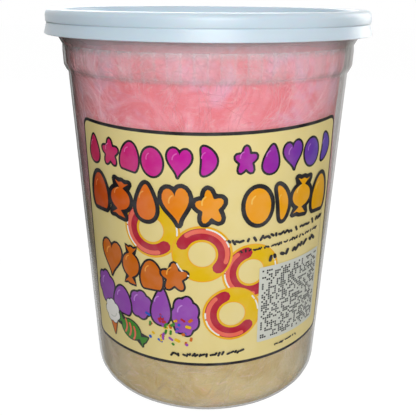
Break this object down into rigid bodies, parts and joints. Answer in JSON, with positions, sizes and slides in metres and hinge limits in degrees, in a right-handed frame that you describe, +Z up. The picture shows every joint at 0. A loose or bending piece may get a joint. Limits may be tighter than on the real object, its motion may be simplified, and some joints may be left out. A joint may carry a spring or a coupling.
{
  "type": "cotton candy tub",
  "caption": "Clear round tub with a press-on lid, packed with pink and cream cotton candy, with a yellow wrap-round label.",
  "frame": {"origin": "middle of the tub's foot, on the surface it stands on", "axes": "+Z up along the tub's centre line, the label faces -Y"},
  "size_m": [0.118, 0.118, 0.143],
  "materials": {
    "tub": "clear, slightly hazy polypropylene",
    "lid": "milky pale blue polypropylene",
    "pink_floss": "matt spun sugar, fine fibres pressed together",
    "cream_floss": "matt spun sugar, fine fibres pressed together",
    "label": "satin printed label film"
  },
  "bodies": {
    "root": {"tub": "tub", "lid": "lid", "pink_floss": "pink_floss", "cream_floss": "cream_floss", "label": "label"}
  },
  "joints": []
}
